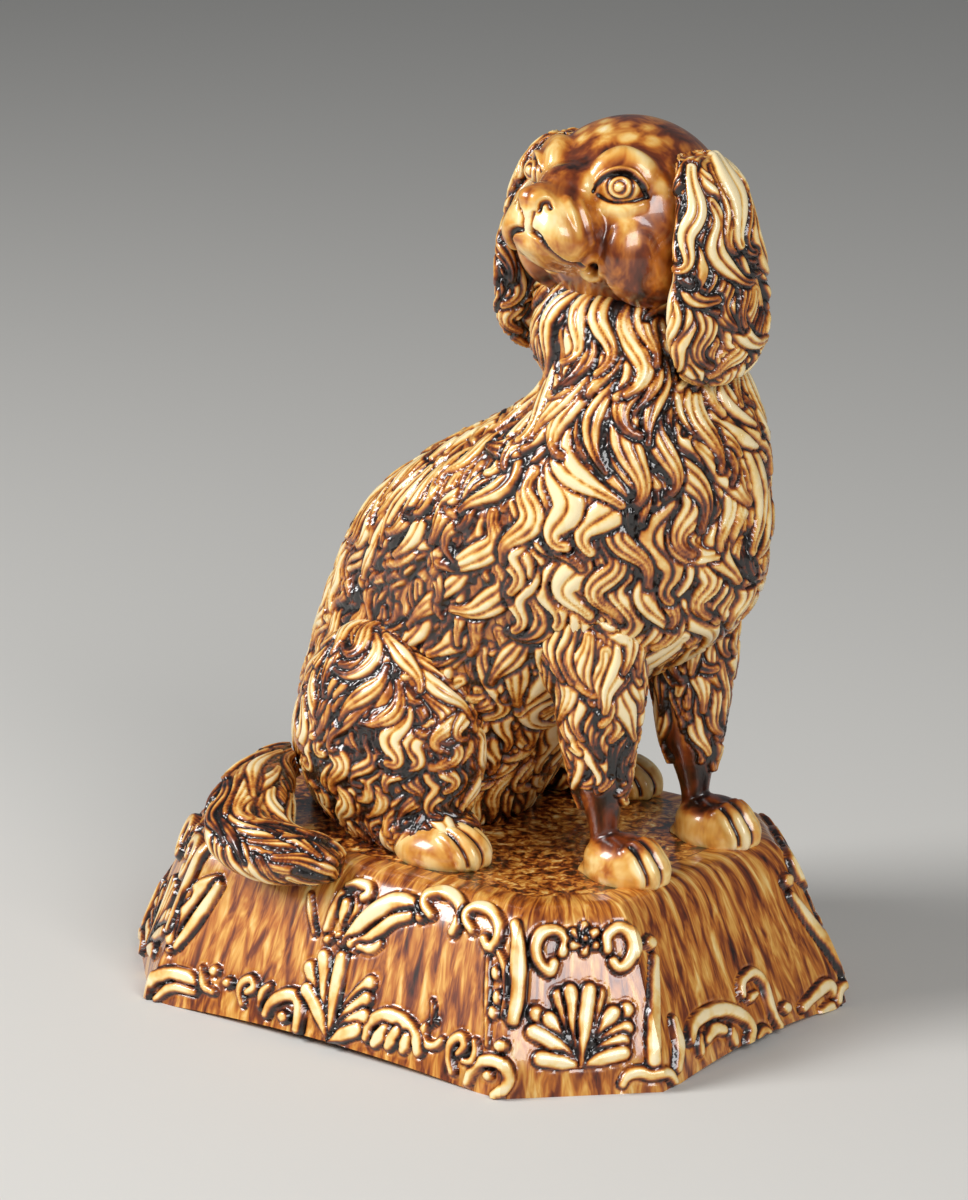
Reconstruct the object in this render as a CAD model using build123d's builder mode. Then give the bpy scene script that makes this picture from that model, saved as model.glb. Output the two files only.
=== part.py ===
"""Seated spaniel ornament in mottled brown glaze, on a hollow moulded plinth.

A press-moulded pottery figure is made as separate clay pressings that are luted together with slip
before firing. Every pressing is one solid here: the eight plinth walls with their moulded relief, the
slab that they carry, the two hollow halves of the body and of the head, the ears, legs, paws and tail.

Frame: millimetres, +Z up, origin at the middle of the plinth's foot, +X the way that the dog's body
faces and +Y its left side. The head is turned to the dog's right, towards -Y.
"""

import os
from math import sqrt

from build123d import *

# Plinth
PLINTH_LENGTH = 200.0  # over the foot, along X
PLINTH_WIDTH = 160.0  # over the foot, along Y
PLINTH_HEIGHT = 50.0
CORNER_CANT = 33.0  # plan leg of each canted corner, at the foot
FOOT_BAND = 9.0  # height of the flared foot
FOOT_FLARE = 2.0  # how far the foot stands out from the wall above it
WALL_BATTER = 14.0  # how far the wall leans in between the foot and the shoulder
SHOULDER = 8.0  # how far the rounded shoulder turns in over the slab's height
PLINTH_WALL = 7.0
SLAB = 8.0
FOOT_ARCH = 2.5  # rise of the scallop under each wall between two corners
FOOT_LAND = 9.0  # flat foot left at each end of such a wall
VENT = 14.0  # hole in the slab that lets steam out of the body in the kiln

# Moulded relief on the plinth
PILASTER = 30.0  # plain strip in the middle of a long wall, which carries a palmette
PANEL_MARGIN = 6.0  # plain border round a sunk field
PANEL_ARCH = 3.0  # rise of a sunk field's arched head
PANEL_DEPTH = 1.5
PETAL_LENGTH = 20.0
PETAL_WIDTH = 6.5
PALMETTE_RELIEF = 2.6
PALMETTE_PETALS = 5
PALMETTE_FAN = 104.0  # degrees between the two outer petals
ROSETTE = 9.5
ROSETTE_RELIEF = 2.2
ROSETTE_RISE = 27.0  # up a corner wall, from the foot band

# Body
DOG_ASIDE = 5.0  # the dog sits this far left of the plinth's middle, to leave room for the tail
BODY_WALL = 6.0
TORSO_LENGTH = 161.0
TORSO_REAR = -70.0  # X of the rump
TORSO_WIDTH = 92.0
TORSO_HEIGHT = 172.0  # from the slab to the top of the neck, inside the head
HAUNCH_LENGTH = 66.0
HAUNCH_WIDTH = 38.0
HAUNCH_HEIGHT = 72.0
HAUNCH_FORWARD = 57.0  # from the rump to the middle of a haunch
HAUNCH_SPREAD = 36.0  # from the dog's median plane to the middle of a haunch
HAUNCH_RISE = 32.0  # from the slab to the middle of a haunch
FORELEG_SPREAD = 23.0
FORELEG_HEIGHT = 84.0
FORELEG_WIDTH = 30.0
FORELEG_BACK = 36.0  # from the front of the breast to the middle of a foreleg
PAW_LENGTH = 25.0
PAW_WIDTH = 20.0
PAW_HEIGHT = 16.0
PAW_RISE = 5.0  # from the slab to the middle of a paw
PAW_REACH = 9.0  # how far a forepaw's middle stands in front of its leg
HIND_PAW_FORWARD = 25.0  # from the middle of a haunch to the middle of its hind paw
HIND_PAW_SPREAD = 43.0

# Head
HEAD_BACK = 43.5  # from the front of the breast to the middle of the skull
HEAD_ASIDE = 1.0  # from the dog's median plane, towards its left
HEAD_RISE = 191.0  # from the slab to the middle of the skull
HEAD_TURN = -98.0  # degrees about Z from the body's heading
HEAD_LIFT = 12.0  # degrees that the muzzle points up
SKULL_LENGTH = 58.0
SKULL_WIDTH = 59.0
SKULL_HEIGHT = 58.0
MUZZLE_LENGTH = 41.0  # from the middle of the skull to its blunt front
MUZZLE_WIDTH = 29.0
MUZZLE_HEIGHT = 25.0
MUZZLE_DROP = 4.0
NOSE_WIDTH = 12.0
NOSE_RISE = 5.0  # from the muzzle's middle line to the nose
EYE = 9.0
EYE_SPREAD = 17.0
EYE_FORWARD = 21.0
EYE_RISE = 9.0
EAR_LENGTH = 65.0
EAR_WIDTH = 38.0
EAR_THICKNESS = 14.0
EAR_TOP_RISE = 22.0  # from the middle of the skull to the top of an ear

# Tail, which comes round the dog's right side and over the plinth's edge
TAIL_WIDTH = 27.0
TAIL_HEIGHT = 17.0
TAIL_ROOT_FORWARD = 13.0  # from the rump to the middle of the root
TAIL_ROOT_RISE = 13.0  # from the slab to the middle of the root
TAIL_RUN = 50.0  # from the root to the tip, along X
TAIL_SPREAD = 71.0  # from the dog's median plane to the middle of the tail's straight run

# Places worked out from the sizes above
BREAST_X = TORSO_REAR + TORSO_LENGTH
HEAD_X = BREAST_X - HEAD_BACK
FORELEG_X = BREAST_X - FORELEG_BACK
HAUNCH_X = TORSO_REAR + HAUNCH_FORWARD
HIND_PAW_X = HAUNCH_X + HIND_PAW_FORWARD
TAIL_ROOT_X = TORSO_REAR + TAIL_ROOT_FORWARD
SLAB_UNDER = PLINTH_HEIGHT - SLAB
WALL_INSET = FOOT_FLARE + WALL_BATTER
HEAD_LEVEL = PLINTH_HEIGHT + HEAD_RISE
HEAD_Y = DOG_ASIDE + HEAD_ASIDE

# Shoulder curve as shares of the slab's height and of the turn in
SHOULDER_SHARES = [(0.0, 0.0), (0.55, 0.35), (0.85, 0.68), (1.0, 1.0)]
PLINTH_LEVELS = [(0, 0), (FOOT_BAND, FOOT_FLARE)]
SHOULDER_LEVELS = [(SLAB_UNDER + up * SLAB, WALL_INSET + turn * SHOULDER) for up, turn in SHOULDER_SHARES]
# An octagon's canted side loses this share of an inset at each end, in plan
CANT_INSET_SHARE = 2 - sqrt(2)
# Torso stations as shares of its height, of its length at the rear and at the front, and of its half width
TORSO_SHARES = [
    (0.000, 0.051, 0.466, 0.76),
    (0.070, 0.012, 0.521, 0.84),
    (0.163, 0.003, 0.584, 0.88),
    (0.262, 0.028, 0.689, 0.88),
    (0.384, 0.066, 0.901, 0.90),
    (0.459, 0.105, 0.977, 0.95),
    (0.529, 0.150, 1.000, 1.00),
    (0.634, 0.263, 0.998, 1.00),
    (0.709, 0.395, 0.994, 0.91),
    (0.785, 0.542, 0.970, 0.80),
    (0.884, 0.597, 0.921, 0.64),
    (1.000, 0.637, 0.835, 0.35),
]
# Foreleg stations as shares of its height, of its width forward, and of its half width along X and Y
FORELEG_SHARES = [
    (0.00, 0.03, 0.50, 0.46),
    (0.28, 0.03, 0.47, 0.43),
    (0.38, 0.01, 0.64, 0.60),
    (0.57, 0.00, 0.87, 0.80),
    (0.79, -0.03, 1.07, 0.93),
    (1.00, -0.10, 1.00, 0.87),
]
# Muzzle stations as shares of its length forward and of its width and height
MUZZLE_SHARES = [(0.30, 1.00), (0.65, 0.97), (0.88, 0.86), (1.00, 0.55)]
# Ear stations as shares of its length down, its half width, its half thickness and the skull's half width
EAR_SHARES = [
    (0.00, 0.42, 0.60, 0.86),
    (0.12, 0.68, 0.95, 1.04),
    (0.35, 0.85, 1.00, 1.16),
    (0.62, 1.00, 1.00, 1.20),
    (0.84, 0.97, 0.95, 1.20),
    (0.95, 0.72, 0.75, 1.18),
    (1.00, 0.40, 0.45, 1.16),
]
# Tail stations as shares of its run, of its spread, of its root's rise, of its width and of its height
TAIL_SHARES = [
    (0.00, 0.34, 1.00, 0.45, 0.60),
    (-0.03, 0.52, 0.96, 0.62, 0.80),
    (0.07, 0.70, 0.80, 0.86, 0.95),
    (0.22, 0.88, 0.52, 1.00, 1.00),
    (0.42, 1.00, 0.20, 1.00, 1.00),
    (0.68, 1.00, 0.08, 0.92, 0.95),
    (0.90, 0.97, 0.03, 0.70, 0.75),
    (1.00, 0.95, 0.00, 0.38, 0.45),
]
WALL_NAMES = [
    "front_left_corner_wall",
    "left_wall",
    "rear_left_corner_wall",
    "rear_wall",
    "rear_right_corner_wall",
    "right_wall",
    "front_right_corner_wall",
    "front_wall",
]


def outline(inset):
    """The plinth's corners in plan at an inset from its foot, anticlockwise from the front left one."""
    half_length = PLINTH_LENGTH / 2 - inset
    half_width = PLINTH_WIDTH / 2 - inset
    cant = CORNER_CANT - inset * CANT_INSET_SHARE
    left = [
        (half_length, half_width - cant),
        (half_length - cant, half_width),
        (cant - half_length, half_width),
        (-half_length, half_width - cant),
    ]
    return left + [(-x, -y) for x, y in left]


def wall_quad(index, inset):
    """The four plan corners of one wall at an inset: two on its outside and two on its inside."""
    outer = outline(inset)
    inner = outline(inset + PLINTH_WALL)
    after = (index + 1) % len(outer)
    return [outer[index], outer[after], inner[after], inner[index]]


def outer_edge(index, z, inset):
    """The two ends of a wall's outer edge at one level."""
    return [Vector(x, y, z) for x, y in wall_quad(index, inset)[:2]]


def egg(length, width, height, place):
    """An ellipsoid of three sizes, moved and turned to a place."""
    with BuildPart() as unit:
        Sphere(1)
        scale(by=(length / 2, width / 2, height / 2))
    return place * unit.part


def palmette(face_plane):
    """Petals that fan out over a wall from the middle of its foot band."""
    petals = []
    for step in range(PALMETTE_PETALS):
        lean = PALMETTE_FAN * (step / (PALMETTE_PETALS - 1) - 1 / 2)
        turn = face_plane.location * Location((0, 0, 0), (0, 0, lean))
        spot = turn * Location((0, PETAL_LENGTH / 2, 0))
        petals.append(egg(PETAL_WIDTH, PETAL_LENGTH, 2 * PALMETTE_RELIEF, spot))
    return petals


def torso_stack(shrink):
    """The torso as a loft of level ellipses, its sides moved in by one amount."""
    with BuildPart() as stack:
        for height, rear, front, half_width in TORSO_SHARES:
            middle = TORSO_REAR + (rear + front) / 2 * TORSO_LENGTH
            half_length = (front - rear) / 2 * TORSO_LENGTH
            with BuildSketch(Plane((middle, DOG_ASIDE, PLINTH_HEIGHT + height * TORSO_HEIGHT))):
                Ellipse(half_length - shrink, half_width * TORSO_WIDTH / 2 - shrink)
        loft()
    return stack.part


os.makedirs("parts", exist_ok=True)

# Plinth walls, each a battered pressing with a flared foot and a rounded shoulder
for index, name in enumerate(WALL_NAMES):
    foot = outer_edge(index, 0, 0)
    low = outer_edge(index, FOOT_BAND, FOOT_FLARE)
    high = outer_edge(index, SLAB_UNDER, WALL_INSET)
    along = low[1] - low[0]
    rise = (high[0] + high[1] - low[0] - low[1]) / 2
    face_plane = Plane(origin=(low[0] + low[1]) / 2, x_dir=along, z_dir=along.cross(rise))
    foot_plane = Plane(origin=(foot[0] + foot[1]) / 2, x_dir=along, z_dir=along.cross(Vector(0, 0, 1)))
    arch_half = (foot[1] - foot[0]).length / 2 - FOOT_LAND
    is_corner = name.endswith("corner_wall")
    is_long = name in ("left_wall", "right_wall")
    relief = palmette(face_plane) if is_corner or is_long else []
    if is_corner:
        boss = face_plane.location * Location((0, ROSETTE_RISE, 0))
        relief.append(egg(ROSETTE, ROSETTE, 2 * ROSETTE_RELIEF, boss))

    with BuildPart() as wall:
        for z, inset in PLINTH_LEVELS + SHOULDER_LEVELS:
            with BuildSketch(Plane.XY.offset(z)):
                Polygon(*wall_quad(index, inset), align=None)
        loft(ruled=True)
        if not is_corner:
            with BuildSketch(foot_plane):
                with BuildLine():
                    scallop = ThreePointArc((-arch_half, 0), (0, FOOT_ARCH), (arch_half, 0))
                    Polyline(scallop @ 1, (arch_half, -FOOT_ARCH), (-arch_half, -FOOT_ARCH), scallop @ 0)
                make_face()
            extrude(amount=2 * PLINTH_WALL, both=True, mode=Mode.SUBTRACT)
        if is_long:
            field_low = along.length / 2 - PANEL_MARGIN
            field_high = (high[1] - high[0]).length / 2 - PANEL_MARGIN
            field_top = rise.length - PANEL_MARGIN
            field_side = PILASTER / 2
            arch_top = ((field_side + field_high) / 2, field_top + PANEL_ARCH)
            with BuildSketch(face_plane):
                with BuildLine():
                    head_arc = ThreePointArc((field_high, field_top), arch_top, (field_side, field_top))
                    sill = [(field_side, PANEL_MARGIN), (field_low, PANEL_MARGIN)]
                    Polyline(head_arc @ 1, *sill, head_arc @ 0)
                make_face()
                mirror(about=Plane.YZ)
            extrude(amount=-PANEL_DEPTH, mode=Mode.SUBTRACT)
        if relief:
            add(relief)
    wall.part.label = name
    export_step(wall.part, f"parts/{name}.step")

# Slab that closes the plinth inside the tops of its walls
vent_x = TORSO_REAR + (TORSO_SHARES[0][1] + TORSO_SHARES[0][2]) / 2 * TORSO_LENGTH
with BuildPart() as slab:
    for z, inset in SHOULDER_LEVELS:
        with BuildSketch(Plane.XY.offset(z)):
            Polygon(*outline(inset + PLINTH_WALL), align=None)
    loft(ruled=True)
    with Locations((vent_x, DOG_ASIDE, PLINTH_HEIGHT)):
        Hole(VENT / 2)
slab.part.label = "plinth_slab"
export_step(slab.part, "parts/plinth_slab.step")

# Whole forms that smaller pressings are cut to, so that they meet face to face
with BuildPart() as plinth_form:
    for z, inset in PLINTH_LEVELS + SHOULDER_LEVELS:
        with BuildSketch(Plane.XY.offset(z)):
            Polygon(*outline(inset), align=None)
    loft(ruled=True)
torso_form = torso_stack(0)
torso_hollow = torso_stack(BODY_WALL)
head_stand = Location((HEAD_X, HEAD_Y, HEAD_LEVEL), (0, 0, HEAD_TURN))
head_place = head_stand * Location((0, 0, 0), (0, -HEAD_LIFT, 0))
face_seam = head_place * Location((0, 0, 0), (0, 90, 0))
skull = egg(SKULL_HEIGHT, SKULL_WIDTH, SKULL_LENGTH, face_seam)

# Hollow body, pressed as a left and a right half
for name, half in (("torso_left_half", Keep.BOTTOM), ("torso_right_half", Keep.TOP)):
    with BuildPart() as torso:
        add(torso_form)
        add(torso_hollow, mode=Mode.SUBTRACT)
        split(bisect_by=Plane.XZ.offset(-DOG_ASIDE), keep=half)
    torso.part.label = name
    export_step(torso.part, f"parts/{name}.step")

# Hollow head, pressed as a face and a back that meet across the ears
with BuildPart() as muzzle:
    for forward, size in MUZZLE_SHARES:
        station = head_place * Location((forward * MUZZLE_LENGTH, 0, -MUZZLE_DROP), (0, 90, 0))
        with BuildSketch(Plane(station)):
            Ellipse(size * MUZZLE_HEIGHT / 2, size * MUZZLE_WIDTH / 2)
    loft()
nose_place = head_place * Location((MUZZLE_LENGTH - NOSE_WIDTH / 3, 0, NOSE_RISE - MUZZLE_DROP))
features = [egg(NOSE_WIDTH, NOSE_WIDTH, NOSE_WIDTH, nose_place)]
for side in (1, -1):
    eye_place = head_place * Location((EYE_FORWARD, side * EYE_SPREAD, EYE_RISE))
    features.append(egg(EYE, EYE, EYE, eye_place))
skull_hollow = egg(
    SKULL_HEIGHT - 2 * BODY_WALL, SKULL_WIDTH - 2 * BODY_WALL, SKULL_LENGTH - 2 * BODY_WALL, face_seam
)
for name, half in (("head_face_half", Keep.TOP), ("head_back_half", Keep.BOTTOM)):
    with BuildPart() as head:
        add(skull)
        add(muzzle.part)
        add(features)
        add(skull_hollow, mode=Mode.SUBTRACT)
        add(torso_form, mode=Mode.SUBTRACT)
        split(bisect_by=Plane(face_seam), keep=half)
    head.part.label = name
    export_step(head.part, f"parts/{name}.step")

for hand, side in (("left", 1), ("right", -1)):
    # Long ear, hung on the side of the skull
    with BuildPart() as ear:
        for down, width, thickness, hang in EAR_SHARES:
            ear_drop = EAR_TOP_RISE - down * EAR_LENGTH
            station = head_stand * Location((0, side * hang * SKULL_WIDTH / 2, ear_drop))
            with BuildSketch(Plane(station)):
                Ellipse(width * EAR_WIDTH / 2, thickness * EAR_THICKNESS / 2)
        loft()
        add(skull, mode=Mode.SUBTRACT)
        add(torso_form, mode=Mode.SUBTRACT)
    ear.part.label = f"{hand}_ear"
    export_step(ear.part, f"parts/{hand}_ear.step")

    # Haunch, seated on the slab against the body
    haunch_place = Location((HAUNCH_X, DOG_ASIDE + side * HAUNCH_SPREAD, PLINTH_HEIGHT + HAUNCH_RISE))
    haunch_form = egg(HAUNCH_LENGTH, HAUNCH_WIDTH, HAUNCH_HEIGHT, haunch_place)
    with BuildPart() as haunch:
        add(haunch_form)
        split(bisect_by=Plane.XY.offset(PLINTH_HEIGHT), keep=Keep.TOP)
        add(torso_form, mode=Mode.SUBTRACT)
    haunch.part.label = f"{hand}_haunch"
    export_step(haunch.part, f"parts/{hand}_haunch.step")

    # Hind paw, which shows under the haunch
    hind_paw_place = Location((HIND_PAW_X, DOG_ASIDE + side * HIND_PAW_SPREAD, PLINTH_HEIGHT + PAW_RISE))
    hind_paw_form = egg(PAW_LENGTH, PAW_WIDTH, PAW_HEIGHT, hind_paw_place)
    with BuildPart() as hind_paw:
        add(hind_paw_form)
        split(bisect_by=Plane.XY.offset(PLINTH_HEIGHT), keep=Keep.TOP)
        add(haunch_form, mode=Mode.SUBTRACT)
        add(torso_form, mode=Mode.SUBTRACT)
    hind_paw.part.label = f"{hand}_hind_paw"
    export_step(hind_paw.part, f"parts/{hand}_hind_paw.step")

    # Foreleg with its paw
    leg_y = DOG_ASIDE + side * FORELEG_SPREAD
    forepaw_place = Location((FORELEG_X + PAW_REACH, leg_y, PLINTH_HEIGHT + PAW_RISE))
    forepaw = egg(PAW_LENGTH, PAW_WIDTH, PAW_HEIGHT, forepaw_place)
    with BuildPart() as foreleg:
        for height, forward, half_x, half_y in FORELEG_SHARES:
            station = (FORELEG_X + forward * FORELEG_WIDTH, leg_y, PLINTH_HEIGHT + height * FORELEG_HEIGHT)
            with BuildSketch(Plane(station)):
                Ellipse(half_x * FORELEG_WIDTH / 2, half_y * FORELEG_WIDTH / 2)
        loft()
        add(forepaw)
        split(bisect_by=Plane.XY.offset(PLINTH_HEIGHT), keep=Keep.TOP)
        add(torso_form, mode=Mode.SUBTRACT)
    foreleg.part.label = f"{hand}_foreleg"
    export_step(foreleg.part, f"parts/{hand}_foreleg.step")

# Tail, laid round the right haunch and over the plinth's shoulder; the right haunch was made last
tail_points = []
for forward, aside, lift, _, _ in TAIL_SHARES:
    tail_x = TAIL_ROOT_X + forward * TAIL_RUN
    tail_points.append(Vector(tail_x, DOG_ASIDE - aside * TAIL_SPREAD, PLINTH_HEIGHT + lift * TAIL_ROOT_RISE))
with BuildPart() as tail:
    for step, (_, _, _, width, height) in enumerate(TAIL_SHARES):
        before = tail_points[max(step - 1, 0)]
        after = tail_points[min(step + 1, len(tail_points) - 1)]
        with BuildSketch(Plane(origin=tail_points[step], x_dir=(0, 0, 1), z_dir=after - before)):
            Ellipse(height * TAIL_HEIGHT / 2, width * TAIL_WIDTH / 2)
    loft()
    add(torso_form, mode=Mode.SUBTRACT)
    add(haunch_form, mode=Mode.SUBTRACT)
    add(plinth_form.part, mode=Mode.SUBTRACT)
tail.part.label = "tail"
export_step(tail.part, "parts/tail.step")
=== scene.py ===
# %% [markdown]
# # A seated spaniel in mottled brown glaze
# The real figure is pressed clay under a thick, runny glaze. The glaze drains off every ridge, where the
# cream body shows, and pools almost black in every groove. So nearly all of its look comes from relief:
# each lock of the coat and each scroll on the plinth is modelled, and the colour follows the modelling.

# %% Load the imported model, which stays where it is
import math
from collections import namedtuple
from contextlib import contextmanager

import bpy
import numpy as np
from mathutils import Matrix, Vector, noise
from mathutils.bvhtree import BVHTree


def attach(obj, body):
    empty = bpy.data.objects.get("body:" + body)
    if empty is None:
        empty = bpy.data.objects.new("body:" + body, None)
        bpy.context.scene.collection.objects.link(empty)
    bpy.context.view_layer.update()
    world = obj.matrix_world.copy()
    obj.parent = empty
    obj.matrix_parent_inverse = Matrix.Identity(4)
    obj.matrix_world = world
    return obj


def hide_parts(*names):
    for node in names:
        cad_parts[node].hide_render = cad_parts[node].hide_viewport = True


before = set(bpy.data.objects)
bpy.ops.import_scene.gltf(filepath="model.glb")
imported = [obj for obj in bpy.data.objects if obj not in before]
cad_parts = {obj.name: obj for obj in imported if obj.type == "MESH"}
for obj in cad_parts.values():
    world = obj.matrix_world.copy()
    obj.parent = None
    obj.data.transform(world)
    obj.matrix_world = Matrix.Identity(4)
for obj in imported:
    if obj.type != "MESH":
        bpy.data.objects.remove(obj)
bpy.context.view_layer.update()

MM = 0.001

# %% [markdown]
# ## Camera
# The camera is the one that took the photograph, worked out from the corners of the plinth's foot: a long
# lens from the front right, a little above. It comes first, because face and plinth details are placed by
# looking through it.

# %% Camera at the photograph's viewing angle
PHOTO_WIDTH = 968
PHOTO_HEIGHT = 1200
AZIMUTH = math.radians(37.86)
ELEVATION = math.radians(15.67)
DISTANCE = 1500 * MM
FOCAL_PIXELS = 5009.85
AIM_HEIGHT = 119 * MM
AIM_ASIDE = -1.215 * MM
SENSOR = 36.0

view_right = Vector((math.cos(AZIMUTH), math.sin(AZIMUTH), 0))
view_back = Vector((math.sin(AZIMUTH), -math.cos(AZIMUTH), 0)) * math.cos(ELEVATION)
view_back.z = math.sin(ELEVATION)
view_up = view_back.cross(view_right)
aim = Vector((0, 0, AIM_HEIGHT)) + view_right * AIM_ASIDE
bpy.ops.object.camera_add(location=aim + view_back * DISTANCE)
camera = bpy.context.object
camera.rotation_euler = view_back.to_track_quat("Z", "Y").to_euler()
camera.data.sensor_width = SENSOR
camera.data.lens = FOCAL_PIXELS * SENSOR / PHOTO_HEIGHT
camera.data.clip_end = 100
bpy.context.scene.camera = camera
print("lens:", round(camera.data.lens, 1), "mm")


def sight(pixel):
    """The direction from the camera through a pixel of the photograph."""
    aside = (pixel[0] - PHOTO_WIDTH / 2) / FOCAL_PIXELS
    rise = (PHOTO_HEIGHT / 2 - pixel[1]) / FOCAL_PIXELS
    return (view_right * aside + view_up * rise - view_back).normalized()


# %% [markdown]
# ## Clay forms
# A modeller starts from plain lumps of clay, presses them together and thumbs the joins smooth. Here the
# lumps are sphere primitives and merged copies of the CAD pieces. The voxel remesh presses them into one
# skin of even small faces, which is what fine modelling needs, and a smooth modifier does the thumbing.

# %% Lumps and skins


def only(*objects):
    """Selects just these objects and makes the first one active."""
    bpy.ops.object.select_all(action="DESELECT")
    for obj in objects:
        obj.select_set(True)
    bpy.context.view_layer.objects.active = objects[0] if objects else None


@contextmanager
def editing(obj):
    """Edit mode on one object, with all of its mesh selected to begin with."""
    only(obj)
    bpy.ops.object.mode_set(mode="EDIT")
    bpy.ops.mesh.select_all(action="SELECT")
    yield
    bpy.ops.object.mode_set(mode="OBJECT")


def cad_lump(node):
    """A merged copy of a CAD piece; the piece itself is left alone."""
    lump = bpy.data.objects.new(node + "_lump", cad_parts[node].data.copy())
    bpy.context.collection.objects.link(lump)
    with editing(lump):
        bpy.ops.mesh.remove_doubles(threshold=0.001 * MM)
    return lump


def egg(place, size, turn=Matrix.Identity(4)):
    """A ball stretched to three diameters, at a place within a turned frame, all in millimetres."""
    only()
    bpy.ops.mesh.primitive_uv_sphere_add(segments=48, ring_count=24, radius=0.5)
    ball = bpy.context.object
    stretch = Matrix.Diagonal((*(Vector(size) * MM), 1))
    ball.matrix_world = turn @ Matrix.Translation(Vector(place) * MM) @ stretch
    bpy.ops.object.transform_apply(location=True, rotation=True, scale=True)
    return ball


def press(name, lumps, grain, thumbing):
    """Lumps pressed into one even skin of small faces, with the hollow inside left out."""
    only(*lumps)
    if len(lumps) > 1:
        bpy.ops.object.join()
    form = bpy.context.object
    skin = form.modifiers.new("even skin", "REMESH")
    skin.mode = "VOXEL"
    skin.voxel_size = grain
    bpy.ops.object.modifier_apply(modifier=skin.name)
    bpy.ops.mesh.separate(type="LOOSE")
    shells = sorted(bpy.context.selected_objects, key=lambda shell: shell.dimensions.length)
    form = shells.pop()
    for shell in shells:
        bpy.data.objects.remove(shell)
    only(form)
    thumb = form.modifiers.new("thumbing", "SMOOTH")
    thumb.factor = 0.5
    thumb.iterations = thumbing
    bpy.ops.object.modifier_apply(modifier=thumb.name)
    bpy.ops.object.shade_smooth()
    form.name = name
    form.data.name = name
    form.data.materials.clear()
    print(name, len(form.data.polygons), "faces")
    return form


# %% [markdown]
# ## Strokes of the modelling tool
# Locks, toes, lids, scrolls and leaves are all one thing to the modeller: a stroke, a rounded roll of clay
# laid along a line. A displace modifier can't make locks that lie over one another. So the strokes are
# painted on the skin's vertices in order, as clay is laid on: a later stroke covers an earlier one, and
# leaves a groove all round its own edge. The glaze needs the distance to that groove too, so it is kept.

# %% Shape of a stroke, and how glaze drains off it
FAR = 100 * MM  # further than any edge can be
SAME_SIDE = 0.1  # least agreement of facings on one side of a thin form
HALO = 0.9 * MM  # width of the groove beside a stroke
WIDEST = 0.45  # share of its length at which a stroke is widest
RISEN = 0.6  # share of its length at which a stroke has its full height
STRAND_FOLD = 0.35  # depth of the folds between strands, as a share of the height
STRAND_LIP = 0.7 * MM  # how far the slope of a fold reaches into a strand
DRAINED = 1.2 * MM  # distance from an edge at which the glaze has drained
STRAND_DRAINED = 1.2 * MM  # the same for a fold between strands
FOLD_DRAINED = 0.25  # how far the bottom of a fold has drained
OUTLINE_ROUNDS = 12  # rounds of averaging that take a form's relief away
SHADED_POOL_DEPTH = 0.8 * MM  # depth of a hollow that is painted at its darkest, as pooled glaze and painted shade
POOLED_GLAZE_AND_SHADE = 0.12  # how much darker such a hollow is painted, as pooled glaze and painted shade; raised places are painted lighter by as much
STAIN_ROUNDS = 3  # rounds of averaging that soften the edges of stains and of painted shade


def vectors(items, name):
    """A vector kept by each item of a mesh, as the rows of an array."""
    flat = np.empty(len(items) * 3)
    items.foreach_get(name, flat)
    return flat.reshape(-1, 3)


def smoothly(share):
    """An even start and stop between 0 and 1."""
    share = np.clip(share, 0, 1)
    return share * share * (3 - 2 * share)


# %% A skin that takes strokes


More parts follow.
